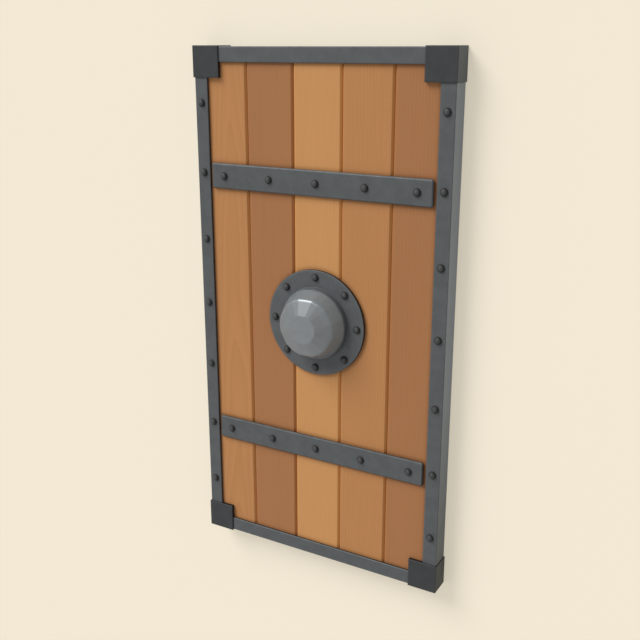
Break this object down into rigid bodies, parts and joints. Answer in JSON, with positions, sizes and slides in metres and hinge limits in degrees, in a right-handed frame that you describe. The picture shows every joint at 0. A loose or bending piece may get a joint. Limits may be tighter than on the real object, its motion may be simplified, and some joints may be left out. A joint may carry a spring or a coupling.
{
  "type": "tower shield",
  "caption": "Tall flat rectangular shield of upright wooden planks in an iron rim, with corner caps, cross straps, a round faceted boss and a hand grip behind it.",
  "frame": {"origin": "middle of the shield's back, on the ground it lies on, level with the backs of the corner caps", "axes": "+Z out of the shield's face, +Y towards its top edge, +X towards its right edge as seen from the front"},
  "size_m": [0.634, 1.204, 0.1129],
  "materials": {
    "wood_medium": "satin oiled softwood, medium tone",
    "wood_dark": "satin oiled softwood, dark tone",
    "wood_light": "satin oiled softwood, light tone",
    "grip_wood": "hand-polished hardwood",
    "rim_iron": "dark grey wrought iron, satin",
    "cap_iron": "blackened wrought iron, satin",
    "rivet_iron": "blackened iron, hammered heads",
    "dome_steel": "ground facets, semi-bright"
  },
  "bodies": {
    "root": {"boss_dome": "dome_steel", "boss_flange": "rim_iron", "cap_bottom_left": "cap_iron", "cap_bottom_right": "cap_iron", "cap_top_left": "cap_iron", "cap_top_right": "cap_iron", "grip": "grip_wood", "grip_nail_left": "rivet_iron", "grip_nail_right": "rivet_iron", "plank_far_left": "wood_medium", "plank_far_right": "wood_dark", "plank_left": "wood_dark", "plank_middle_lower": "wood_light", "plank_middle_upper": "wood_light", "plank_right": "wood_medium", "rim_bottom": "rim_iron", "rim_left": "rim_iron", "rim_right": "rim_iron", "rim_top": "rim_iron", "rivet_boss_1": "rivet_iron", "rivet_boss_2": "rivet_iron", "rivet_boss_3": "rivet_iron", "rivet_boss_4": "rivet_iron", "rivet_boss_5": "rivet_iron", "rivet_boss_6": "rivet_iron", "rivet_boss_7": "rivet_iron", "rivet_boss_8": "rivet_iron", "rivet_rim_left_1": "rivet_iron", "rivet_rim_left_2": "rivet_iron", "rivet_rim_left_3": "rivet_iron", "rivet_rim_left_4": "rivet_iron", "rivet_rim_left_5": "rivet_iron", "rivet_rim_left_6": "rivet_iron", "rivet_rim_left_7": "rivet_iron", "rivet_rim_right_1": "rivet_iron", "rivet_rim_right_2": "rivet_iron", "rivet_rim_right_3": "rivet_iron", "rivet_rim_right_4": "rivet_iron", "rivet_rim_right_5": "rivet_iron", "rivet_rim_right_6": "rivet_iron", "rivet_rim_right_7": "rivet_iron", "rivet_strap_lower_1": "rivet_iron", "rivet_strap_lower_2": "rivet_iron", "rivet_strap_lower_3": "rivet_iron", "rivet_strap_lower_4": "rivet_iron", "rivet_strap_lower_5": "rivet_iron", "rivet_strap_upper_1": "rivet_iron", "rivet_strap_upper_2": "rivet_iron", "rivet_strap_upper_3": "rivet_iron", "rivet_strap_upper_4": "rivet_iron", "rivet_strap_upper_5": "rivet_iron", "strap_lower": "rim_iron", "strap_upper": "rim_iron"}
  },
  "joints": []
}
